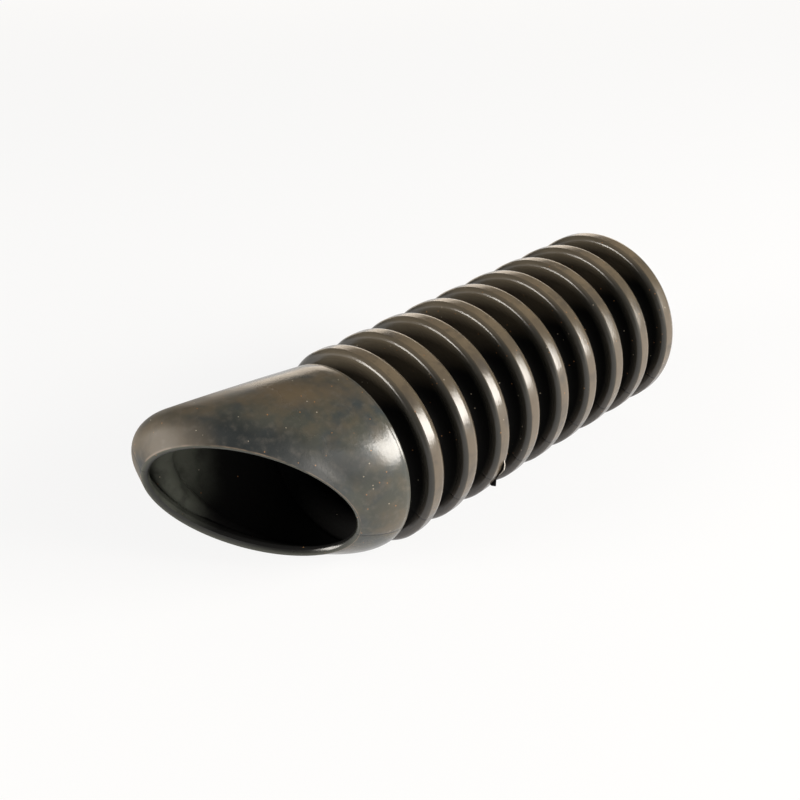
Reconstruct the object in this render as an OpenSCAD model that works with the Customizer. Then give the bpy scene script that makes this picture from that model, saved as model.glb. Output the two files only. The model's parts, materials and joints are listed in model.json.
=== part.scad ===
// Rubber intake sleeve: a convoluted hose moulded in one piece with a slanted, hooded intake mouth.
// The hose lies along X, mouth towards -X, at rest on the undersides of its rings at Z = 0.

/* [Bellows] */
// Diameter of the plain bore that takes the pipe
bore_d = 50; // [42:1:60]
// Thickness of the rubber wall
wall = 3; // [2:0.25:3.5]
// Number of rings
ring_count = 9; // [4:1:14]
// Distance from one ring to the next
ring_pitch = 18; // [16:0.5:22]
// Width of a ring over its flanks
ring_w = 8.4; // [7.4:0.2:10]
// Rounding of a ring's shoulders, between its flat crest and its flanks
shoulder_r = 2; // [1:0.25:3]
// Height of the straight stretch of a ring's flanks
flank_h = 2.7; // [1:0.1:4]

/* [Cuff] */
// Distance by which the cuff's back edge lies inside the crests of the rings
cuff_step = 2.2; // [1:0.2:4]
// Rounding of the cuff's back edge
edge_r = 1.2; // [0.6:0.2:2]
// Overhang of the cuff's back edge past the wall that closes the cuff
back_lip = 1.8; // [0.4:0.2:3]
// Distance from the foremost point of the mouth back to the centre of the nose's rounding
nose_back = 10.1; // [9:0.1:16]
// Height of the nose's outside above the cuff's back edge
nose_rise = 7.4; // [4:0.2:9]
// Outside radius of the rounded nose
nose_r = 8.7; // [7:0.1:10]
// Power by which the cuff's sides draw in from its back edge to the mouth
side_power = 2; // [1.5:0.1:3]

/* [Mouth] */
// Distance from the cuff's back edge to the middle of the mouth
mouth_s = 41.4; // [39:0.2:48]
// Length of the oval mouth over its lip
mouth_l = 76.8; // [72:0.2:80]
// Width of the oval mouth over its lip
mouth_w = 53.8; // [46:0.2:64]
// Slant of the mouth from square to the hose
mouth_tilt = 40; // [38:1:46]
// Turn of the hood about the hose's axis, from upright towards +Y
mouth_turn = 60; // [0:1:100]
// Height by which the middle of the lip is crowned
lip_crown = 1; // [0.2:0.1:1.5]

/* [Rest] */
// Depth of the flat spots that the rings have settled to
rest_flat = 0.3; // [0.1:0.05:0.6]

/* [Hidden] */

rubber_black = [0.13, 0.125, 0.12];
loop_points = 56;
round_steps = 3;
straight_steps = 5;
nose_steps = 8;
lip_steps = 4;
$fn = 96;

// Convolution: grooves with round roots between flat-crested rings, hollow inside by one wall thickness.
bore_r = bore_d/2;
groove_w = ring_pitch - ring_w;
root_r = groove_w/2;
root_c = bore_r + wall + root_r;
ring_r = root_c + flank_h + shoulder_r;
hollow_w = ring_w - 2*wall;
hollow_r = 0.4*hollow_w;
bellows_l = ring_count*ring_pitch;
last_root = root_at(ring_count - 1);

// Mouth and cuff: the cuff is lofted from its round back edge to the slanted oval lip.
cuff_r = ring_r - cuff_step;
mouth_a = mouth_l/2;
mouth_b = mouth_w/2;
cuff_front = mouth_s + mouth_a*sin(mouth_tilt);
nose_c = [cuff_front - nose_back, cuff_r + nose_rise - nose_r];

// Frame: the middle of the sleeve's length and width is at X = 0, Y = 0, its flat spots at Z = 0.
sleeve_l = cuff_front - back_lip + bellows_l;
edge_x = cuff_front - sleeve_l/2;
cuff_sides = [for (loop = skin_loops(edge_r, 0)) for (p = loop) sideways(p)];
axis_y = -(max(ring_r, max(cuff_sides)) + min(-ring_r, min(cuff_sides)))/2;
axis_z = ring_r - rest_flat;

function root_at(j) = root_r + j*ring_pitch;
function ring_at(i) = groove_w + ring_w/2 + i*ring_pitch;

// Bearing, from the centre of a circle, of the point where a line from p touches that circle.
function touch_bearing(p, centre, r, side) =
  let (v = p - centre)
  atan2(v[1], v[0]) + side*acos(r/norm(v));

function point_on(centre, r, bearing) = centre + r*[cos(bearing), sin(bearing)];

// End of the mouth on its long side (+1) or its short side (-1), as [distance forward, height].
function mouth_end(side) = [mouth_s, 0] + side*mouth_a*[sin(mouth_tilt), cos(mouth_tilt)];

// Direction in which the skin runs out at the lip, on the long or the short side.
function skin_run(side) =
  let (
    bearing = touch_bearing(mouth_end(1), nose_c, nose_r, 1),
    short_run = mouth_end(-1) - [edge_r, -cuff_r]
  )
  side > 0 ? [sin(bearing), -cos(bearing)] : short_run/norm(short_run);

// End of the lip, set in square to the skin and forward along it.
function lip_end(inset, forward, side) =
  let (run = skin_run(side))
  mouth_end(side) + forward*run + side*inset*[run[1], -run[0]];

// Long side of the cuff: straight from the back, round the nose and down to the lip.
function long_side(start, inset) =
  let (
    r = nose_r - inset,
    tip = lip_end(inset, 0, 1),
    from = touch_bearing(start, nose_c, r, -1),
    to = touch_bearing(tip, nose_c, r, 1)
  )
  [
    for (k = [0:straight_steps - 1]) start + (point_on(nose_c, r, from) - start)*k/straight_steps,
    for (k = [0:nose_steps]) point_on(nose_c, r, from + (to - from)*k/nose_steps),
    tip
  ];

// Length of a line up to one of its points.
function length_to(line, k) = k == 0 ? 0 : length_to(line, k - 1) + norm(line[k] - line[k - 1]);

// One closed oval between a point of the long side and a point of the short side.
function oval(high, low, half_w) =
  let (middle = (high + low)/2, reach = (high - low)/2)
  [for (k = [0:loop_points - 1])
    let (a = 360*k/loop_points, m = middle + reach*cos(a))
    [m[0], m[1], half_w*sin(a)]];

// Ovals of the cuff's skin from the back edge to the lip, inset from its outside.
function skin_loops(start_s, inset) =
  let (
    r = cuff_r - inset,
    high = long_side([start_s, r], inset),
    low_from = [start_s, -r],
    low_to = lip_end(inset, 0, -1),
    last = len(high) - 1
  )
  [for (k = [0:last])
    let (share = length_to(high, k)/length_to(high, last))
    oval(high[k], low_from + (low_to - low_from)*share,
      r + (mouth_b - cuff_r)*pow(share, side_power))];

// Rounded back edge, as circles.
function edge_loops() =
  [for (k = [0:round_steps - 1])
    let (a = 90*k/round_steps, r = cuff_r - edge_r*(1 - sin(a)), s = edge_r*(1 - cos(a)))
    oval([s, r], [s, -r], r)];

// Crowned lip between the outside and the inside of the skin.
function lip_loops() =
  [for (k = [1:lip_steps - 1])
    let (a = 180*k/lip_steps, inset = wall*(1 - cos(a))/2, forward = lip_crown*sin(a))
    oval(lip_end(inset, forward, 1), lip_end(inset, forward, -1), mouth_b - inset)];

function reversed(list) = [for (k = [len(list) - 1:-1:0]) list[k]];

// A loft point is [distance forward of the back edge, height, side], with the hood upright.
function sideways(p) = p[1]*sin(mouth_turn) + p[2]*cos(mouth_turn);
function upwards(p) = p[1]*cos(mouth_turn) - p[2]*sin(mouth_turn);
function placed(p) = [edge_x - p[0], axis_y + sideways(p), axis_z + upwards(p)];

// Half section of one ring from the axis out: its flanks, its two rounded shoulders and its flat crest.
module ring_section(width, round_r, top_r) {
  translate([0, -width/2])
    square([top_r - round_r, width]);
  translate([0, round_r - width/2])
    square([top_r, width - 2*round_r]);
  for (side = [-1, 1])
    translate([top_r - round_r, side*(width/2 - round_r)])
      circle(r = round_r);
}

// Area between the axis and one face of the wall: ring sections joined by grooves with round roots.
module wave(width, round_r, top_r, groove_r, rings, from, to) {
  difference() {
    union() {
      translate([0, from])
        square([root_c, to - from]);
      for (i = [0:rings - 1])
        translate([0, ring_at(i)])
          ring_section(width, round_r, top_r);
    }
    for (j = [0:ring_count - 1])
      translate([root_c, root_at(j)])
        circle(r = groove_r);
  }
}

// Convoluted wall, the wall that closes the cuff's back, and the solid end ring with its plain bore.
module bellows() {
  over = 1;
  translate([edge_x - back_lip, axis_y, axis_z])
    rotate([0, 90, 0])
      rotate_extrude()
        difference() {
          union() {
            wave(ring_w, shoulder_r, ring_r, root_r, ring_count, 0, bellows_l);
            translate([0, -wall])
              square([cuff_r - wall/2, wall]);
          }
          wave(hollow_w, hollow_r, ring_r - wall, root_r + wall, ring_count - 1, -wall - over, last_root);
          translate([0, last_root - over])
            square([bore_r, bellows_l - last_root + 2*over]);
        }
}

// Hooded cuff: one closed skin, out along its outside, over the lip and back along its inside.
module cuff() {
  loops = concat(edge_loops(), skin_loops(edge_r, 0), lip_loops(), reversed(skin_loops(0, wall)));
  count = len(loops);
  corners = [for (loop = loops) for (p = loop) placed(p)];
  panels = [
    for (i = [0:count - 1])
      for (k = [0:loop_points - 1])
        let (
          here = i*loop_points,
          next = ((i + 1) % count)*loop_points,
          turn = (k + 1) % loop_points
        )
        each [
          [here + k, next + k, next + turn],
          [here + k, next + turn, here + turn]
        ]
  ];
  polyhedron(corners, panels);
}

module sleeve() {
  color(rubber_black)
    difference() {
      union() {
        bellows();
        cuff();
      }
      translate([-sleeve_l/2, axis_y - ring_r, -ring_r])
        cube([sleeve_l, 2*ring_r, ring_r]);
    }
}

sleeve();
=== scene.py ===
import json
import math

import bmesh
import bpy
from mathutils import Matrix, Vector


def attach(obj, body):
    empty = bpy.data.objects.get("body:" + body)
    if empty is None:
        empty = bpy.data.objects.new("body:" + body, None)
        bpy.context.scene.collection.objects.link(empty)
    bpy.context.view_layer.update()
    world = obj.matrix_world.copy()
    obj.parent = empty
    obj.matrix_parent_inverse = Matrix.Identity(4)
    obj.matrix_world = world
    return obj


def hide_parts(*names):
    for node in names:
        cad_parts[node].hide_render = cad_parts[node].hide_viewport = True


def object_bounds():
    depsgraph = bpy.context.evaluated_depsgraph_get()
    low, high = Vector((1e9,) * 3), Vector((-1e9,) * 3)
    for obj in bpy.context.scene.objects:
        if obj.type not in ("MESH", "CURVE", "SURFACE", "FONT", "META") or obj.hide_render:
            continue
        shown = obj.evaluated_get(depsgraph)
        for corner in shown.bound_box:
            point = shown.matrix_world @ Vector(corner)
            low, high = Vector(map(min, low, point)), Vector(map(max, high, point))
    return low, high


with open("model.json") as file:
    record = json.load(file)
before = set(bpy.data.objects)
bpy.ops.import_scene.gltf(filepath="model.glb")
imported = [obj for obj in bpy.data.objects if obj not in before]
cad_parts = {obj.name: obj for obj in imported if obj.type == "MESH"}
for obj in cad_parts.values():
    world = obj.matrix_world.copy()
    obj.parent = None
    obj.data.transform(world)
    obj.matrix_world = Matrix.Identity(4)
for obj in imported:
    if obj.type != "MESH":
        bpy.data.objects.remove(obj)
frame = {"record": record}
cad_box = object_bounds()

MM = 0.001
HALF_TURN = math.pi
QUARTER_TURN = math.pi / 2

# Bellows: each ring has a front shoulder up to a crease, a flat land and a wider rear shoulder
WALL = 3.0 * MM
RING_COUNT = 9
RING_PITCH = 18.0 * MM
RING_W = 8.4 * MM
RING_TOP = 4.7 * MM  # crest above the centres of the groove roots
LAND_FRONT = 2.6 * MM  # ring's middle forward to its crease
LAND_REAR = 0.6 * MM  # ring's middle back to its rear shoulder
FRONT_TURN = math.radians(70)  # turn of the front shoulder, up to the crease
HOLLOW_ROUNDING = 0.4  # rounding inside a ring, as a share of its hollow
BORE_EDGE_R = 0.6 * MM

# Hooded cuff, lofted from its round back edge to an oval lip in a slanted plane
CUFF_STEP = 2.2 * MM  # crests of the rings above the back edge
EDGE_R = 1.2 * MM
BACK_LIP = 1.8 * MM  # overhang of the back edge past the wall that closes the cuff
NOSE_BACK = 10.1 * MM  # foremost point of the mouth back to the centre of the nose
NOSE_RISE = 7.4 * MM  # top of the nose above the back edge
NOSE_R = 8.7 * MM
SIDE_POWER = 2.0  # how late the sides draw in towards the mouth
LOW_POWER = 1.8  # how late the short side draws in towards the mouth
MOUTH_S = 41.4 * MM  # back edge to the middle of the mouth
MOUTH_L = 76.8 * MM
MOUTH_W = 53.8 * MM
MOUTH_TILT = math.radians(40)
MOUTH_TURN = math.radians(60)
LIP_CROWN = 1.0 * MM
INSIDE_STEP = 1.0 * MM  # closing wall to the first oval inside

# Marks left by the mould: fine lines round the crests and the cuff, and a seam along each side
LINE_W = 0.5 * MM
LINE_DEPTH = 0.1 * MM
LINE_TURN = math.radians(30)  # place of the line on a rear shoulder
SEAM_BEARING = math.radians(-26)
SEAM_W = 1.0 * MM
SEAM_DEPTH = 0.06 * MM

# A torn flap of flash at the rear of the third ring's crest, with its heights in steps downwards
TEAR_RING = 2
TEAR_BEARING = math.radians(-13)
TEAR_STEP = math.radians(2)
TEAR_HEIGHTS_MM = (0.1, 0.8, 1.1, 1.3, 1.0, 0.7, 0.4, 0.3, 0.5, 1.1, 1.8, 0.6)
TEAR_W = 0.3 * MM
TEAR_LEAN = math.radians(12)
TEAR_ROOT = 0.5 * MM
TORN_SHARE = 0.22  # pale edge, partly a painted highlight, as a share of the height
TORN_STEPS = 6  # steps with a pale edge, partly a painted highlight

# Marks kept on the skin, from 0 to 1, and the finishes that they lead to
MARKED = 0.5
FLANK_SHARE = 0.45  # front mark halfway up a flank
LIP_SHARE = 0.4  # outside mark at the lip's outer side
LIP_INSIDE = 0.2  # outside mark below which the duct's finish starts
LIP_SHADE = 0.15  # outside mark below which the lip is black with painted shade
RIM_WEAR_GLINT_FROM = 0.9  # share of the stretch from nose to lip at which the rim line of wear and painted edge highlight starts
END_FACE = 1.0 * MM  # stretch at the far end that keeps the glossy finish
GROOVE_FINISH = 1  # place among the sleeve's materials
DUCT_FINISH = 2

# Fineness of the mesh
HALF_STEPS = 79
FRONT_STEPS = 7
REAR_STEPS = 3
ROOT_STEPS = 10
HOLLOW_STEPS = 3
STRAIGHT_STEPS = 12
NOSE_STEPS = 14
LIP_STEPS = 8
EDGE_STEPS = 4
CLOSE = 0.01 * MM

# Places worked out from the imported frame
BORE = frame["record"]["mounts"][0]
BORE_R = BORE["dims"]["r_mm"] * MM
END_X, AXIS_Y, AXIS_Z = BORE["pos_m"]
BELLOWS_L = RING_COUNT * RING_PITCH
EDGE_X = END_X - BELLOWS_L + BACK_LIP
GROOVE_W = RING_PITCH - RING_W
ROOT_R = GROOVE_W / 2
ROOT_C = BORE_R + WALL + ROOT_R
RING_R = ROOT_C + RING_TOP
FRONT_R = (RING_W / 2 - LAND_FRONT) / (1 - math.cos(FRONT_TURN))
REAR_R = RING_W / 2 - LAND_REAR
HOLLOW_W = RING_W - 2 * WALL
HOLLOW_R = HOLLOW_ROUNDING * HOLLOW_W
CUFF_R = RING_R - CUFF_STEP
MOUTH_A = MOUTH_L / 2
MOUTH_B = MOUTH_W / 2
MOUTH_LINE = Vector((math.sin(MOUTH_TILT), math.cos(MOUTH_TILT)))
NOSE_C = Vector((MOUTH_S + MOUTH_A * MOUTH_LINE.x - NOSE_BACK, CUFF_R + NOSE_RISE - NOSE_R))
HOSE_PLACE = (
    Matrix.Translation((END_X - BELLOWS_L, AXIS_Y, AXIS_Z))
    @ Matrix.Rotation(-MOUTH_TURN, 4, "X")
)

# Colours of the rubber
# Painted shade: near-black for the grooves and rear flanks
GROOVE_SHADE_BLACK = (0.003, 0.003, 0.003, 1.0)
# Dust and painted top light, lighter on the upper grooves
GROOVE_DUST_AND_LIGHT = (0.07, 0.058, 0.041, 1.0)
FLANK_GREY = (0.034, 0.032, 0.027, 1.0)
# Dust and painted top light, lighter on the upper flanks
FLANK_TOP = (0.095, 0.079, 0.056, 1.0)
# Painted floor bounce: a lighter brown underneath, on flanks, lands and cuff
UNDER_BOUNCE_BROWN = (0.062, 0.054, 0.047, 1.0)
# Lands graded by how far they face up: painted top light on top, painted floor bounce low down, darker
# between
LAND_TOP = (0.125, 0.098, 0.064, 1.0)
LAND_MID = (0.072, 0.058, 0.04, 1.0)
LAND_LOW = (0.09, 0.072, 0.052, 1.0)
LAND_SCUFF = (0.045, 0.039, 0.032, 1.0)
# Painted shade: the dark band above the mouth
CUFF_SHADE = (0.009, 0.012, 0.013, 1.0)
CUFF_OLIVE = (0.044, 0.046, 0.038, 1.0)
CUFF_BLUE = (0.026, 0.034, 0.04, 1.0)
CUFF_BROWN = (0.1, 0.076, 0.047, 1.0)
CUFF_DUST = (0.12, 0.108, 0.092, 1.0)
# Rim line at the mouth: partly wear, partly a painted edge highlight
RIM_WEAR_AND_GLINT = (0.16, 0.12, 0.088, 1.0)
EDGE_GREY = (0.05, 0.052, 0.041, 1.0)
# Pale torn edge: partly torn rubber, partly a painted highlight
TORN_PALE_GLINT = (0.7, 0.66, 0.6, 1.0)
SEAM_BLACK = (0.004, 0.004, 0.004, 1.0)
# Painted shade: black deep in the duct and on the lip's inner half
DUCT_SHADE_BLACK = (0.004, 0.004, 0.004, 1.0)
# Painted light: grey lit patch inside the duct behind the lip
DUCT_LIT_GREY = (0.09, 0.097, 0.082, 1.0)
SPECK_PALE = (0.26, 0.23, 0.18, 1.0)
SPECK_RUST = (0.24, 0.12, 0.05, 1.0)

# Uneven colour: scale and detail of a noise, then the levels between which its patches fade in
MOTTLE = (60, 8)
MOTTLE_LEVELS = (0.34, 0.6)
SMEARS = (140, 5)
GRAIN = (900, 6)
DUST = (420, 5, 0.45, 0.85)
SPOTS = (170, 6, 0.42, 0.7)
BLUISH = (95, 7, 0.44, 0.62)
SCUFFS = (130, 7, 0.48, 0.72)
RUBBING = (150, 4, 0.3, 0.6)
DUCT_DUST = (120, 7, 0.2, 0.6)

# How much of a colour its mask lets through
BLUISH_SHARE = 0.6
SPOT_SHARE = 0.35
DUST_SHARE = 0.3
# Painted floor bounce on the cuff's underside
UNDER_BOUNCE_SHARE = 0.5
NOSE_SHARE = 0.7
SCUFF_SHARE = 0.7
# Painted shade under the nose inside the duct
DUCT_NOSE_SHADE_SHARE = 0.6

# Heights between which a colour fades in, as shares of the height of the hose's axis
# Painted shade band above the mouth
SHADE_BAND_HEIGHTS = (1.15, 1.5)
# Painted floor bounce fades in below these heights on the cuff and the flanks
CUFF_UNDER_BOUNCE_HEIGHTS = (1.15, 0.6)
FLANK_HEIGHTS = (0.5, 0.9)
# Dust and painted top light fade in above these heights on the flanks and grooves
FLANK_TOP_HEIGHTS = (1.75, 1.98)
GROOVE_DUST_AND_LIGHT_HEIGHTS = (1.62, 1.85)
# Painted floor bounce colour below these heights on the lands
LAND_HEIGHTS = (0.5, 0.65)
# Painted lit patch inside the duct fades in above these heights
DUCT_LIT_HEIGHTS = (0.5, 0.9)

# Distances forward of the cuff's back edge between which a colour or a finish fades in
NOSE_REACH = (49.0 * MM, 61.0 * MM)
DULL_REACH = (18.0 * MM, 53.0 * MM)
# Painted light inside the duct behind the lip, and painted shade under the nose
DUCT_LIT_REACH = (25.0 * MM, 43.0 * MM)
DUCT_NOSE_SHADE_REACH = (65.0 * MM, 41.0 * MM)
CUFF_REACH = (-0.3 * MM, 0.0)

# How far the skin faces up where dust and painted light fade in, on the cuff and the lands, and how patchy
# that dust is
# Dust and painted sheen on the cuff's top
CUFF_TOP_SHEEN_LEVELS = (0.86, 0.99)
LAND_MID_LEVELS = (0.1, 0.5)
LAND_TOP_LEVELS = (0.75, 0.97)
LAND_PATCHINESS = -0.15

# Painted shade in a band along the upper side of the mouth: where it has faded out and is full, and its
# ragged edge
SHADE_BAND_FADE = (20.0 * MM, 9.0 * MM)
SHADE_BAND_RAGGED = 12.0 * MM

# Specks, grain and gloss
SPECK_SCALE = 420
SPECK_R = 0.1
PALE_SPECKS = 0.3
SKIN_SPECKS = 0.4
DUCT_SPECKS = 0.1
GRAIN_STRENGTH = 0.25
SKIN_GRAIN = 0.15 * MM
DUCT_GRAIN = 0.3 * MM
SKIN_ROUGHNESS = 0.12
SMEAR_ROUGHNESS = 0.2
CUFF_ROUGHNESS = 0.33
GROOVE_ROUGHNESS = 0.6
GROOVE_SPECULAR = 0.05
DUCT_ROUGHNESS = 0.8
DUCT_SPECULAR = 0.1

# Stage
WHITE = (1.0, 1.0, 1.0, 1.0)
FLOOR_PALE = (0.8, 0.79, 0.77, 1.0)
FLOOR_ROUGHNESS = 0.9
FLOOR_WHITENING = 0.85
FLOOR_REACH = 3.0
STUDIO_STRENGTH = 0.12
WARM_WHITE = (1.0, 0.95, 0.88)
WARM_BACK = (1.0, 0.86, 0.7)
SOFTBOXES = {
    "right_softbox": {"place": (0.55, -0.89, 0.38), "size": (0.75, 0.5), "watts": 26, "tint": WARM_WHITE},
    "left_softbox": {"place": (-0.93, 0.36, 0.28), "size": (0.45, 0.5), "watts": 12, "tint": WARM_WHITE},
    "back_softbox": {"place": (0.75, 0.85, 0.18), "size": (1.4, 0.36), "watts": 3.5, "tint": WARM_BACK},
    "front_softbox": {"place": (-0.15, -1.0, 0.28), "size": (0.7, 0.5), "watts": 2.2, "tint": WARM_WHITE},
}

# Camera, placed in ring radii from a point on the hose's axis just ahead of the cuff's back edge
CAMERA_LENS = 58.2
CAMERA_HEADING = math.radians(43.18)
CAMERA_DIP = math.radians(29.36)
CAMERA_AWAY = (-7.1718, -7.5901, 6.5053)
CAMERA_AHEAD = 2.8 * MM


def ring_at(i):
    return GROOVE_W + RING_W / 2 + i * RING_PITCH


def root_at(j):
    return ROOT_R + j * RING_PITCH


def turn_to(bearing):
    """Turn about the hose, from the hood to a bearing above the level on the -Y side."""
    return MOUTH_TURN + QUARTER_TURN - bearing


def mark(bm, name):
    """Layer that keeps a mark on the skin's points."""
    return bm.verts.layers.float[name]


def only(kind, geom):
    return [g for g in geom if isinstance(g, kind)]


# Drawing the bellows' section as a line, in the plane of the hose's axis (X) and its hood (Z)
def line_to(bm, last, x, r):
    last = bmesh.ops.extrude_vert_indiv(bm, verts=[last])["verts"][0]
    last.co = (x, 0.0, r)
    return last


def arc_about(bm, last, x, r, turn, steps):
    spun = bmesh.ops.spin(
        bm, geom=[last], cent=(x, 0.0, r), axis=(0.0, 1.0, 0.0), angle=turn, steps=steps,
    )
    return spun["geom_last"][0]


def draw_front(bm, last, middle):
    """Front flank and shoulder of a ring, up to the crease."""
    side_x = middle - RING_W / 2
    shoulder_c = RING_R - FRONT_R * math.sin(FRONT_TURN)
    last = line_to(bm, last, side_x, (ROOT_C + shoulder_c) / 2)
    last[mark(bm, "front")] = FLANK_SHARE
    last = line_to(bm, last, side_x, shoulder_c)
    last[mark(bm, "front")] = 1.0
    return arc_about(bm, last, side_x + FRONT_R, shoulder_c, FRONT_TURN, FRONT_STEPS)


def draw_rear(bm, last, middle):
    """Rear shoulder of a ring, with a fine mould line round it."""
    x = middle + LAND_REAR
    shoulder_c = RING_R - REAR_R
    line_turn = LINE_W / REAR_R
    last = arc_about(bm, last, x, shoulder_c, LINE_TURN, REAR_STEPS)
    for radius, share in ((REAR_R - LINE_DEPTH, 0.5), (REAR_R, 1.0)):
        turn = LINE_TURN + share * line_turn
        last = line_to(bm, last, x + radius * math.sin(turn), shoulder_c + radius * math.cos(turn))
    return arc_about(bm, last, x, shoulder_c, QUARTER_TURN - LINE_TURN - line_turn, REAR_STEPS + 1)


def draw_ring(bm, last, middle):
    """A ring from groove to groove; new points take over the marks of the point they grow from."""
    last = draw_front(bm, last, middle)
    last[mark(bm, "land")] = 1.0
    last[mark(bm, "crease")] = 1.0
    last = line_to(bm, last, middle + LAND_REAR, RING_R)
    last[mark(bm, "crease")] = 0.0
    last = draw_rear(bm, last, middle)
    last[mark(bm, "land")] = 0.0
    last[mark(bm, "front")] = 0.0
    return last


def draw_outside(bm, last):
    for i in range(RING_COUNT):
        last = line_to(bm, last, root_at(i) - ROOT_R, ROOT_C)
        last = arc_about(bm, last, root_at(i), ROOT_C, -HALF_TURN, ROOT_STEPS)
        last = draw_ring(bm, last, ring_at(i))
    return last


def draw_inside(bm, last):
    bump = ROOT_R + WALL
    side = HOLLOW_W / 2
    round_c = RING_R - WALL - HOLLOW_R
    last = arc_about(bm, last, root_at(RING_COUNT - 1), ROOT_C, QUARTER_TURN, ROOT_STEPS // 2)
    for i in reversed(range(RING_COUNT - 1)):
        last = line_to(bm, last, ring_at(i) + side, round_c)
        last = arc_about(bm, last, ring_at(i) + side - HOLLOW_R, round_c, -QUARTER_TURN, HOLLOW_STEPS)
        last = line_to(bm, last, ring_at(i) - side + HOLLOW_R, round_c + HOLLOW_R)
        last = arc_about(bm, last, ring_at(i) - side + HOLLOW_R, round_c, -QUARTER_TURN, HOLLOW_STEPS)
        last = line_to(bm, last, root_at(i) + bump, ROOT_C)
        last = arc_about(bm, last, root_at(i), ROOT_C, HALF_TURN, ROOT_STEPS)
    return last


def draw_section(bm):
    """The bellows' wall from the cuff's back edge, out over the rings and back along the bore."""
    outside = mark(bm, "outside")
    last = bm.verts.new((BACK_LIP, 0.0, CUFF_R - EDGE_R))
    last = line_to(bm, last, BACK_LIP, CUFF_R - WALL)
    last = line_to(bm, last, 0.0, CUFF_R - WALL)
    last = draw_outside(bm, last)
    for v in bm.verts:
        v[outside] = 1.0
    last = line_to(bm, last, BELLOWS_L, BORE_R + BORE_EDGE_R)
    last[outside] = 0.0
    last = arc_about(bm, last, BELLOWS_L - BORE_EDGE_R, BORE_R + BORE_EDGE_R, QUARTER_TURN, EDGE_STEPS)
    last = line_to(bm, last, root_at(RING_COUNT - 1), BORE_R)
    last = draw_inside(bm, last)
    line_to(bm, last, -WALL, CUFF_R - WALL)


def spin_bellows(bm):
    """Two half turns from seam to seam, with a narrow strip on each side of a seam."""
    seam = mark(bm, "seam")
    strip = SEAM_W / 2 / RING_R
    bmesh.ops.transform(bm, matrix=Matrix.Rotation(turn_to(SEAM_BEARING), 4, "X"), verts=bm.verts[:])
    column = bm.verts[:] + bm.edges[:]
    seam_verts = bm.verts[:]
    for _ in range(2):
        for angle, steps in ((strip, 1), (HALF_TURN - 2 * strip, HALF_STEPS), (strip, 1)):
            spun = bmesh.ops.spin(
                bm, geom=column, cent=(0.0, 0.0, 0.0), axis=(1.0, 0.0, 0.0), angle=angle, steps=steps,
            )
            column = spun["geom_last"]
        seam_verts += only(bmesh.types.BMVert, column)
    for v in seam_verts:
        v[seam] = 1.0
    bmesh.ops.remove_doubles(bm, verts=bm.verts[:], dist=CLOSE)


# Lofting the cuff through ovals; a place on its middle plane is (distance forward of the back edge, height)
def touch_bearing(point, radius, side):
    """Bearing, from the centre of the nose, at which a line from a point touches a circle round it."""
    away = point - NOSE_C
    return math.atan2(away.y, away.x) + side * math.acos(radius / away.length)


def mouth_end(side):
    """End of the mouth on the cuff's long side (+1) or its short side (-1)."""
    return Vector((MOUTH_S, 0.0)) + side * MOUTH_A * MOUTH_LINE


def skin_run(side):
    """Direction in which the skin runs out at the lip."""
    if side > 0:
        bearing = touch_bearing(mouth_end(1), NOSE_R, 1)
        return Vector((math.sin(bearing), -math.cos(bearing)))
    return (mouth_end(-1) - Vector((EDGE_R, -CUFF_R))).normalized()


def lip_end(inset, forward, side):
    run = skin_run(side)
    return mouth_end(side) + forward * run + side * inset * Vector((run.y, -run.x))


def long_side(start, inset):
    """Straight from the back edge, round the nose and down to the lip."""
    radius = NOSE_R - inset
    tip = lip_end(inset, 0.0, 1)
    first = touch_bearing(start, radius, -1)
    final = touch_bearing(tip, radius, 1)
    bearings = [first + (final - first) * k / NOSE_STEPS for k in range(NOSE_STEPS + 1)]
    nose = [NOSE_C + radius * Vector((math.cos(b), math.sin(b))) for b in bearings]
    straight = [start.lerp(nose[0], k / STRAIGHT_STEPS) for k in range(STRAIGHT_STEPS)]
    return straight + nose + [nose[-1].lerp(tip, share) for share in (0.5, RIM_WEAR_GLINT_FROM, 1.0)]


def oval(high, low, half_w):
    """Turns a circle round the hose's axis, of radius 1, into one oval of the cuff."""
    middle = (high + low) / 2
    reach = (high - low) / 2
    return Matrix((
        (1.0, 0.0, -reach.x, BACK_LIP - middle.x),
        (0.0, half_w, 0.0, 0.0),
        (0.0, 0.0, reach.y, middle.y),
        (0.0, 0.0, 0.0, 1.0),
    ))


def circle(s, radius):
    return oval(Vector((s, radius)), Vector((s, -radius)), radius)


def back_edge():
    """Rounded back edge, and the bottom of the mould line next to it."""
    ovals = []
    for k in range(EDGE_STEPS + 1):
        a = QUARTER_TURN * k / EDGE_STEPS
        ovals.append(circle(EDGE_R * (1 - math.cos(a)), CUFF_R - EDGE_R * (1 - math.sin(a))))
    return ovals + [circle(EDGE_R + LINE_W / 2, CUFF_R - LINE_DEPTH)]


def skin(start_s, inset):
    """Ovals from the back of the cuff to its lip, inset from its outside."""
    radius = CUFF_R - inset
    high = long_side(Vector((start_s, radius)), inset)
    low_from = Vector((start_s, -radius))
    low_to = lip_end(inset, 0.0, -1)
    run = [0.0]
    for a, b in zip(high, high[1:]):
        run.append(run[-1] + (b - a).length)
    ovals = []
    for point, length in zip(high, run):
        share = length / run[-1]
        half_w = radius + (MOUTH_B - CUFF_R) * share ** SIDE_POWER
        low = low_from.lerp(low_to, share)
        low.y = low_from.y + (low_to.y - low_from.y) * share ** LOW_POWER
        ovals.append(oval(point, low, half_w))
    return ovals


def crowned_lip():
    ovals = []
    for k in range(1, LIP_STEPS):
        a = HALF_TURN * k / LIP_STEPS
        inset = WALL * (1 - math.cos(a)) / 2
        ends = [lip_end(inset, LIP_CROWN * math.sin(a), side) for side in (1, -1)]
        ovals.append(oval(ends[0], ends[1], MOUTH_B - inset))
    return ovals


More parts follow.
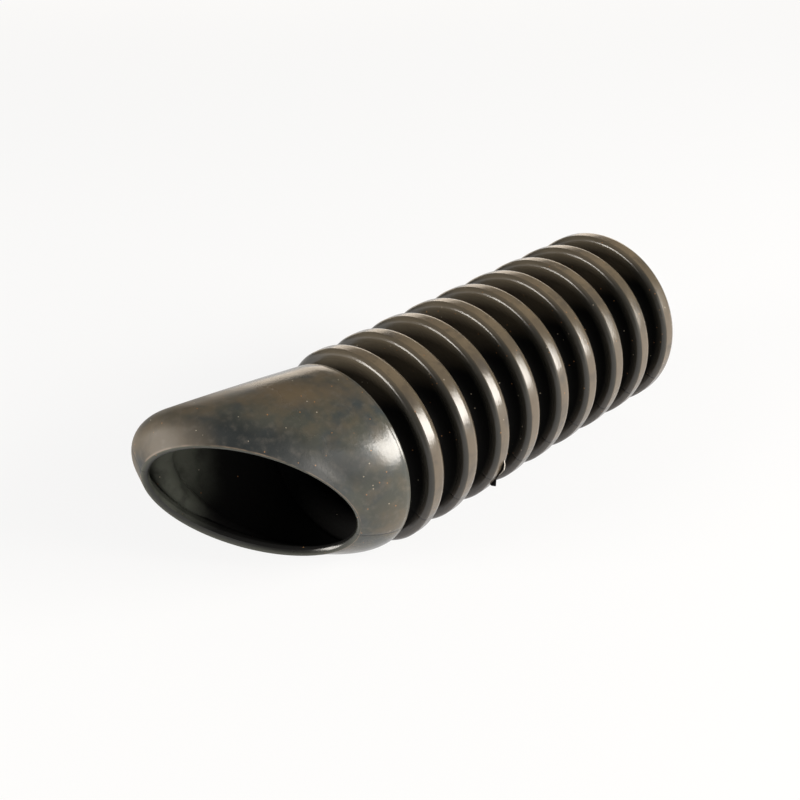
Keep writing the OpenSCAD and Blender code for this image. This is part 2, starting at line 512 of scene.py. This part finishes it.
def loft(bm, rim, here, ovals, first_share, last_share):
    """Grows the skin from a rim through ovals, fading its outside mark, and returns the last rim."""
    outside = mark(bm, "outside")
    for k, there in enumerate(ovals):
        grown = bmesh.ops.extrude_edge_only(bm, edges=rim)["geom"]
        rim = [e for e in only(bmesh.types.BMEdge, grown) if e.is_boundary]
        verts = only(bmesh.types.BMVert, grown)
        bmesh.ops.transform(bm, matrix=there @ here.inverted(), verts=verts)
        for v in verts:
            v[outside] = first_share + (last_share - first_share) * k / len(ovals)
        here = there
    return rim


def loft_cuff(bm):
    """Cuff from the rear open edge of the bellows, over the lip and back inside to the front one."""
    rim_wear_glint = mark(bm, "rim_wear_glint")
    rim = [e for e in bm.edges if e.is_boundary and e.verts[0].co.x > 0]
    outer = back_edge() + skin(EDGE_R + LINE_W, 0.0)
    edge = crowned_lip()
    inner = skin(BACK_LIP + WALL + INSIDE_STEP, WALL)[::-1] + [circle(BACK_LIP + WALL, CUFF_R - WALL)]
    rim = loft(bm, rim, outer[0], outer[1:], 1.0, 1.0)
    corner = {v for e in rim for v in e.verts}
    rim = loft(bm, rim, outer[-1], edge, LIP_SHARE, 0.0)
    # Rim at the lip's outer edge, for a line that is partly wear and partly a painted edge highlight
    for v in corner:
        v[rim_wear_glint] = 1.0
    loft(bm, rim, edge[-1], inner, 0.0, 0.0)
    bmesh.ops.remove_doubles(bm, verts=bm.verts[:], dist=CLOSE)
    bmesh.ops.recalc_face_normals(bm, faces=bm.faces[:])


def sink_seams(bm):
    seam = mark(bm, "seam")
    outside = mark(bm, "outside")
    bm.normal_update()
    for v in bm.verts:
        v.co -= SEAM_DEPTH * v[seam] * v[outside] * v.normal


def sharpen_creases(bm):
    crease = mark(bm, "crease")
    for e in bm.edges:
        e.smooth = not all(v[crease] > MARKED for v in e.verts)


def keep_in_box(bm):
    """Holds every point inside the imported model's box."""
    low, high = cad_box
    for v in bm.verts:
        v.co = [min(max(c, a), b) for c, a, b in zip(v.co, low, high)]


def mark_finishes(bm):
    """Gives the faces of the grooves the second material, and those of the duct the third."""
    outside = mark(bm, "outside")
    front = mark(bm, "front")
    land = mark(bm, "land")
    for f in bm.faces:
        on_hose = EDGE_X < f.calc_center_median().x < END_X - END_FACE
        if all(v[outside] < LIP_INSIDE for v in f.verts):
            f.material_index = DUCT_FINISH
        elif on_hose and all(v[front] < MARKED and v[land] < MARKED for v in f.verts):
            f.material_index = GROOVE_FINISH


def mark_upward(bm):
    """Keeps how far each place of the skin faces up, for dust and for painted sheen and top light."""
    upward = mark(bm, "upward")
    bm.normal_update()
    for v in bm.verts:
        v[upward] = v.normal.z


def add_piece(bm, name, *materials):
    for f in bm.faces:
        f.smooth = True
    mesh = bpy.data.meshes.new(name)
    bm.to_mesh(mesh)
    bm.free()
    for material in materials:
        mesh.materials.append(material)
    piece = bpy.data.objects.new(name, mesh)
    bpy.context.scene.collection.objects.link(piece)
    return piece


def make_sleeve(*finishes):
    bm = bmesh.new()
    for name in ("outside", "seam", "front", "land", "crease", "rim_wear_glint", "upward"):
        bm.verts.layers.float.new(name)
    draw_section(bm)
    spin_bellows(bm)
    loft_cuff(bm)
    sink_seams(bm)
    sharpen_creases(bm)
    bmesh.ops.transform(bm, matrix=HOSE_PLACE, verts=bm.verts[:])
    keep_in_box(bm)
    mark_finishes(bm)
    mark_upward(bm)
    sleeve = add_piece(bm, "rubber_sleeve", *finishes)
    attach(sleeve, "root")
    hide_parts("sleeve")


def tear_lean():
    """Direction in which the flap stands up from the crest, leaning towards the rear."""
    return Vector((math.sin(TEAR_LEAN), 0.0, math.cos(TEAR_LEAN)))


def grow_tear(bm, rim, share, pale):
    """Grows the flap by a share of its height; pale says how pale the upper part of its new edge is, a torn
    edge that is partly a painted highlight.
    """
    torn = mark(bm, "torn")
    grown = bmesh.ops.extrude_edge_only(bm, edges=rim)["geom"]
    verts = set(only(bmesh.types.BMVert, grown))
    for v in verts:
        turn = math.atan2(-v.co.y, v.co.z)
        step = round(abs(turn / TEAR_STEP))
        height = TEAR_HEIGHTS_MM[step] * MM + TEAR_ROOT
        v.co += share * height * (Matrix.Rotation(turn, 3, "X") @ tear_lean())
        v[torn] = pale * (step < TORN_STEPS)
    return [e for e in only(bmesh.types.BMEdge, grown) if verts.issuperset(e.verts)]


def make_torn_flash(material):
    """A thin flap that follows the crest, with a ragged edge."""
    bm = bmesh.new()
    bm.verts.layers.float.new("torn")
    crest = Vector((ring_at(TEAR_RING) + LAND_REAR, 0.0, RING_R))
    root = bm.verts.new(crest - TEAR_ROOT * tear_lean())
    steps = len(TEAR_HEIGHTS_MM) - 1
    bmesh.ops.spin(
        bm, geom=[root], cent=(0.0, 0.0, 0.0), axis=(1.0, 0.0, 0.0), angle=TEAR_STEP * steps, steps=steps,
    )
    rim = grow_tear(bm, bm.edges[:], 1 - TORN_SHARE, 0.0)
    grow_tear(bm, rim, TORN_SHARE, 1.0)
    bmesh.ops.recalc_face_normals(bm, faces=bm.faces[:])
    bmesh.ops.solidify(bm, geom=bm.faces[:], thickness=TEAR_W)
    bmesh.ops.recalc_face_normals(bm, faces=bm.faces[:])
    place = HOSE_PLACE @ Matrix.Rotation(turn_to(TEAR_BEARING), 4, "X")
    bmesh.ops.transform(bm, matrix=place, verts=bm.verts[:])
    keep_in_box(bm)
    tear = add_piece(bm, "torn_flash", material)
    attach(tear, "root")


# Shader helpers: a value is a number, a colour or another node's socket
def add_node(tree, kind, **settings):
    node = tree.nodes.new(kind)
    for name, value in settings.items():
        setattr(node, name, value)
    return node


def feed(tree, socket, value):
    if isinstance(value, bpy.types.NodeSocket):
        tree.links.new(value, socket)
    else:
        socket.default_value = value


def calc(tree, operation, *values):
    node = add_node(tree, "ShaderNodeMath", operation=operation)
    for socket, value in zip(node.inputs, values):
        feed(tree, socket, value)
    return node.outputs["Value"]


def times(tree, first, second):
    return calc(tree, "MULTIPLY", first, second)


def fade(tree, value, low, high):
    """Smooth step from 0 at the low value to 1 at the high one, which may be the smaller."""
    node = add_node(tree, "ShaderNodeMapRange", interpolation_type="SMOOTHSTEP")
    feed(tree, node.inputs["Value"], value)
    node.inputs["From Min"].default_value = low
    node.inputs["From Max"].default_value = high
    return node.outputs["Result"]


def blend(tree, share, first, second):
    node = add_node(tree, "ShaderNodeMix", data_type="RGBA")
    feed(tree, node.inputs["Factor"], share)
    colours = [i for i in node.inputs if i.type == "RGBA"]
    feed(tree, colours[0], first)
    feed(tree, colours[1], second)
    return [o for o in node.outputs if o.type == "RGBA"][0]


def noise(tree, place, scale, detail):
    node = add_node(tree, "ShaderNodeTexNoise")
    feed(tree, node.inputs["Vector"], place)
    node.inputs["Scale"].default_value = scale
    node.inputs["Detail"].default_value = detail
    return node.outputs["Fac"]


def patches(tree, place, scale, detail, low, high):
    return fade(tree, noise(tree, place, scale, detail), low, high)


def attribute(tree, name):
    return add_node(tree, "ShaderNodeAttribute", attribute_name=name).outputs["Fac"]


def object_place(tree):
    return add_node(tree, "ShaderNodeTexCoord").outputs["Object"]


def along_and_up(tree, place):
    node = add_node(tree, "ShaderNodeSeparateXYZ")
    feed(tree, node.inputs["Vector"], place)
    return node.outputs["X"], node.outputs["Z"]


def at_height(tree, up, heights):
    """Fades in from one height to another."""
    return fade(tree, up, heights[0] * AXIS_Z, heights[1] * AXIS_Z)


def ahead(tree, along, reach):
    """Fades in from one distance forward of the cuff's back edge to another."""
    return fade(tree, along, EDGE_X - reach[0], EDGE_X - reach[1])


def rubber_grain():
    """Shared effect: a fine moulded grain, and specks of pale and rust-coloured dust."""
    group = bpy.data.node_groups.new("rubber_grain", "ShaderNodeTree")
    group.interface.new_socket("Place", in_out="INPUT", socket_type="NodeSocketVector")
    group.interface.new_socket("Speck Share", in_out="INPUT", socket_type="NodeSocketFloat")
    group.interface.new_socket("Grain", in_out="OUTPUT", socket_type="NodeSocketFloat")
    group.interface.new_socket("Specks", in_out="OUTPUT", socket_type="NodeSocketFloat")
    group.interface.new_socket("Speck Tint", in_out="OUTPUT", socket_type="NodeSocketColor")
    given = add_node(group, "NodeGroupInput").outputs
    made = add_node(group, "NodeGroupOutput").inputs
    cells = add_node(group, "ShaderNodeTexVoronoi")
    feed(group, cells.inputs["Vector"], given["Place"])
    cells.inputs["Scale"].default_value = SPECK_SCALE
    chance = add_node(group, "ShaderNodeSeparateColor")
    feed(group, chance.inputs["Color"], cells.outputs["Color"])
    near = calc(group, "LESS_THAN", cells.outputs["Distance"], SPECK_R)
    some = calc(group, "LESS_THAN", chance.outputs["Red"], given["Speck Share"])
    rusty = calc(group, "GREATER_THAN", chance.outputs["Green"], PALE_SPECKS)
    feed(group, made["Grain"], noise(group, given["Place"], *GRAIN))
    feed(group, made["Specks"], times(group, near, some))
    feed(group, made["Speck Tint"], blend(group, rusty, SPECK_PALE, SPECK_RUST))
    return group


def behind_mouth(tree, place):
    """Distance from the slanted plane of the mouth back towards the hose."""
    lean = math.sin(MOUTH_TILT)
    square = Vector((math.cos(MOUTH_TILT), lean * math.sin(MOUTH_TURN), lean * math.cos(MOUTH_TURN)))
    middle = Vector((EDGE_X - MOUTH_S, AXIS_Y, AXIS_Z))
    node = add_node(tree, "ShaderNodeVectorMath", operation="DOT_PRODUCT")
    feed(tree, node.inputs[0], place)
    feed(tree, node.inputs[1], square)
    return calc(tree, "SUBTRACT", node.outputs["Value"], square.dot(middle))


def mouth_shade_band(tree, place, up, mottle):
    """Painted shade in a band along the upper side of the mouth, with a ragged edge."""
    ragged = calc(tree, "MULTIPLY_ADD", mottle, SHADE_BAND_RAGGED, behind_mouth(tree, place))
    return times(tree, fade(tree, ragged, *SHADE_BAND_FADE), at_height(tree, up, SHADE_BAND_HEIGHTS))


def cuff_browning_and_light(tree, along, up, mottle):
    """Brown in patches: on top dust with painted sheen, underneath painted floor bounce, and on the nose.
    """
    # Dust and painted sheen on top
    top = fade(tree, attribute(tree, "upward"), *CUFF_TOP_SHEEN_LEVELS)
    # Painted floor bounce on the underside
    under = times(tree, at_height(tree, up, CUFF_UNDER_BOUNCE_HEIGHTS), UNDER_BOUNCE_SHARE)
    nose = times(tree, ahead(tree, along, NOSE_REACH), NOSE_SHARE)
    brown = calc(tree, "MAXIMUM", calc(tree, "MAXIMUM", top, under), nose)
    return times(tree, brown, fade(tree, mottle, *MOTTLE_LEVELS))


def cuff_colour(tree, place, along, up):
    """Olive with bluish patches and brown spots, painted shade in a band above the mouth, brown patches
    with dust and painted sheen on top, painted floor bounce underneath and a browner nose, and dust.
    """
    mottle = noise(tree, place, *MOTTLE)
    bluish = times(tree, patches(tree, place, *BLUISH), BLUISH_SHARE)
    spots = times(tree, patches(tree, place, *SPOTS), SPOT_SHARE)
    dust = times(tree, patches(tree, place, *DUST), DUST_SHARE)
    colour = blend(tree, bluish, CUFF_OLIVE, CUFF_BLUE)
    colour = blend(tree, spots, colour, CUFF_BROWN)
    # Painted shade in a band above the mouth
    colour = blend(tree, mouth_shade_band(tree, place, up, mottle), colour, CUFF_SHADE)
    colour = blend(tree, cuff_browning_and_light(tree, along, up, mottle), colour, CUFF_BROWN)
    return blend(tree, dust, colour, CUFF_DUST)


def flank_colour(tree, up):
    """Painted shade: near-black grooves and rear flanks, fading out up the front flanks to grey. On top,
    dust and painted top light; underneath, painted floor bounce as a lighter brown.
    """
    # Painted floor bounce: lighter brown below the flanks' middle
    flank = blend(tree, at_height(tree, up, FLANK_HEIGHTS), UNDER_BOUNCE_BROWN, FLANK_GREY)
    # Dust and painted top light on the upper flanks
    flank = blend(tree, at_height(tree, up, FLANK_TOP_HEIGHTS), flank, FLANK_TOP)
    # Painted shade in the grooves, lighter at the top with dust and painted top light; the front mark fades
    # the shade out up the front flanks
    groove = blend(tree, at_height(tree, up, GROOVE_DUST_AND_LIGHT_HEIGHTS), GROOVE_SHADE_BLACK, GROOVE_DUST_AND_LIGHT)
    return blend(tree, attribute(tree, "front"), groove, flank)


def land_colour(tree, place, up):
    """Dust-brown lands, graded by how far they face up: lighter with painted top light on top and painted
    floor bounce low down, darker between; scuffed in patches.
    """
    dust = patches(tree, place, *DUST)
    # How far a land faces up, for painted top light and bounce, mixed with dust patches
    patchy = calc(tree, "MULTIPLY_ADD", dust, LAND_PATCHINESS, attribute(tree, "upward"))
    scuffs = times(tree, patches(tree, place, *SCUFFS), SCUFF_SHARE)
    land = blend(tree, fade(tree, patchy, *LAND_MID_LEVELS), LAND_LOW, LAND_MID)
    land = blend(tree, fade(tree, patchy, *LAND_TOP_LEVELS), land, LAND_TOP)
    land = blend(tree, scuffs, land, LAND_SCUFF)
    # Painted floor bounce colour underneath
    return blend(tree, at_height(tree, up, LAND_HEIGHTS), UNDER_BOUNCE_BROWN, land)


def rubber_colour(tree, place):
    """Cuff and rings, a brown rim line at the mouth that is partly wear and partly a painted edge
    highlight, a lip blackened inside with painted shade, a pale torn edge that is partly a painted
    highlight, and black seams.
    """
    along, up = along_and_up(tree, place)
    rings = blend(tree, attribute(tree, "land"), flank_colour(tree, up), land_colour(tree, place, up))
    colour = blend(tree, ahead(tree, along, CUFF_REACH), rings, cuff_colour(tree, place, along, up))
    # Rim line, in patches: partly wear, partly a painted edge highlight
    rim_wear_glint_share = times(tree, attribute(tree, "rim_wear_glint"), patches(tree, place, *RUBBING))
    colour = blend(tree, rim_wear_glint_share, colour, RIM_WEAR_AND_GLINT)
    outside = attribute(tree, "outside")
    # The lip's inner half is black: painted shade of the dark mouth; its outer half grey
    lip_tone = blend(tree, fade(tree, outside, LIP_SHADE, LIP_SHARE), DUCT_SHADE_BLACK, EDGE_GREY)
    colour = blend(tree, fade(tree, outside, LIP_SHARE, 1.0), lip_tone, colour)
    # Pale torn edge, partly a painted highlight
    colour = blend(tree, attribute(tree, "torn"), colour, TORN_PALE_GLINT)
    return blend(tree, attribute(tree, "seam"), colour, SEAM_BLACK)


def duct_colour(tree, place):
    """Painted light: a grey lit patch behind the lip, in dust patches; painted shade, darker under the nose
    and black further in.
    """
    along, up = along_and_up(tree, place)
    # Painted light: a lit patch behind the lip
    dusty_lit_patch = times(tree, ahead(tree, along, DUCT_LIT_REACH), at_height(tree, up, DUCT_LIT_HEIGHTS))
    past_nose = ahead(tree, along, DUCT_NOSE_SHADE_REACH)
    # Painted shade under the nose
    lit = calc(tree, "MULTIPLY_ADD", past_nose, DUCT_NOSE_SHADE_SHARE, 1 - DUCT_NOSE_SHADE_SHARE)
    share = times(tree, times(tree, dusty_lit_patch, lit), patches(tree, place, *DUCT_DUST))
    return blend(tree, share, DUCT_SHADE_BLACK, DUCT_LIT_GREY)


def dusty_rubber(name, colour, grain, speck_share, grain_depth):
    """Rubber of one colour with grain and specks; its gloss is set by the finish that asks for it."""
    material = bpy.data.materials.new(name)
    material.use_nodes = True
    tree = material.node_tree
    shader = tree.nodes["Principled BSDF"]
    place = object_place(tree)
    dust = add_node(tree, "ShaderNodeGroup", node_tree=grain)
    feed(tree, dust.inputs["Place"], place)
    dust.inputs["Speck Share"].default_value = speck_share
    dusted = blend(tree, dust.outputs["Specks"], colour(tree, place), dust.outputs["Speck Tint"])
    feed(tree, shader.inputs["Base Color"], dusted)
    bump = add_node(tree, "ShaderNodeBump")
    bump.inputs["Strength"].default_value = GRAIN_STRENGTH
    bump.inputs["Distance"].default_value = grain_depth
    feed(tree, bump.inputs["Height"], dust.outputs["Grain"])
    feed(tree, shader.inputs["Normal"], bump.outputs["Normal"])
    return material, shader


def moulded_rubber(grain):
    """Glossy skin of the crests and the cuff, smeared, and duller towards the nose."""
    material, shader = dusty_rubber("moulded_rubber", rubber_colour, grain, SKIN_SPECKS, SKIN_GRAIN)
    tree = material.node_tree
    place = object_place(tree)
    along, _ = along_and_up(tree, place)
    smear = calc(tree, "MULTIPLY_ADD", noise(tree, place, *SMEARS), SMEAR_ROUGHNESS, SKIN_ROUGHNESS)
    dull = times(tree, ahead(tree, along, DULL_REACH), CUFF_ROUGHNESS)
    feed(tree, shader.inputs["Roughness"], calc(tree, "ADD", smear, dull))
    return material


def groove_rubber(grain):
    """Dull skin of the grooves, and of the torn flash."""
    material, shader = dusty_rubber("groove_rubber", rubber_colour, grain, SKIN_SPECKS, SKIN_GRAIN)
    shader.inputs["Roughness"].default_value = GROOVE_ROUGHNESS
    shader.inputs["Specular IOR Level"].default_value = GROOVE_SPECULAR
    return material


def duct_rubber(grain):
    """Dull inside of the duct."""
    material, shader = dusty_rubber("duct_rubber", duct_colour, grain, DUCT_SPECKS, DUCT_GRAIN)
    shader.inputs["Roughness"].default_value = DUCT_ROUGHNESS
    shader.inputs["Specular IOR Level"].default_value = DUCT_SPECULAR
    return material


def make_pieces():
    grain = rubber_grain()
    groove_finish = groove_rubber(grain)
    make_sleeve(moulded_rubber(grain), groove_finish, duct_rubber(grain))
    make_torn_flash(groove_finish)


def pale_floor():
    """A pale floor that looks white to the camera but keeps the shadow."""
    material = bpy.data.materials.new("pale_floor")
    material.use_nodes = True
    tree = material.node_tree
    shader = tree.nodes["Principled BSDF"]
    shader.inputs["Base Color"].default_value = FLOOR_PALE
    shader.inputs["Roughness"].default_value = FLOOR_ROUGHNESS
    white = add_node(tree, "ShaderNodeEmission")
    mix = add_node(tree, "ShaderNodeMixShader")
    path = add_node(tree, "ShaderNodeLightPath").outputs
    mirrored = calc(tree, "MAXIMUM", path["Is Glossy Ray"], path["Is Transmission Ray"])
    seen = calc(tree, "MAXIMUM", path["Is Camera Ray"], mirrored)
    feed(tree, mix.inputs["Fac"], times(tree, seen, FLOOR_WHITENING))
    feed(tree, mix.inputs[1], shader.outputs["BSDF"])
    feed(tree, mix.inputs[2], white.outputs["Emission"])
    feed(tree, tree.nodes["Material Output"].inputs["Surface"], mix.outputs["Shader"])
    return material


def make_floor():
    bm = bmesh.new()
    bmesh.ops.create_grid(bm, x_segments=1, y_segments=1, size=FLOOR_REACH)
    floor = add_piece(bm, "floor", pale_floor())


def add_softbox(name, place, size, watts, tint):
    """A soft lamp that faces the middle of the sleeve."""
    lamp = bpy.data.lights.new(name, "AREA")
    lamp.shape = "RECTANGLE"
    lamp.size, lamp.size_y = size
    lamp.energy = watts
    lamp.color = tint
    holder = bpy.data.objects.new(name, lamp)
    holder.location = place
    aim = Vector((0.0, 0.0, AXIS_Z)) - Vector(place)
    holder.rotation_euler = aim.to_track_quat("-Z", "Y").to_euler()
    bpy.context.scene.collection.objects.link(holder)


def light_stage():
    world = bpy.data.worlds.new("studio")
    world.use_nodes = True
    glow = world.node_tree.nodes["Background"].inputs
    glow["Color"].default_value = WHITE
    glow["Strength"].default_value = STUDIO_STRENGTH
    bpy.context.scene.world = world
    for name, softbox in SOFTBOXES.items():
        add_softbox(name, **softbox)


def set_camera():
    camera = bpy.data.cameras.new("camera")
    camera.lens = CAMERA_LENS
    holder = bpy.data.objects.new("camera", camera)
    ahead_of_edge = Vector((EDGE_X - CAMERA_AHEAD, AXIS_Y, AXIS_Z))
    holder.location = ahead_of_edge + RING_R * Vector(CAMERA_AWAY)
    holder.rotation_euler = (QUARTER_TURN - CAMERA_DIP, 0.0, CAMERA_HEADING - QUARTER_TURN)
    bpy.context.scene.collection.objects.link(holder)
    bpy.context.scene.camera = holder


set_camera()
make_pieces()
make_floor()
light_stage()
bpy.context.scene.view_settings.view_transform = "Standard"
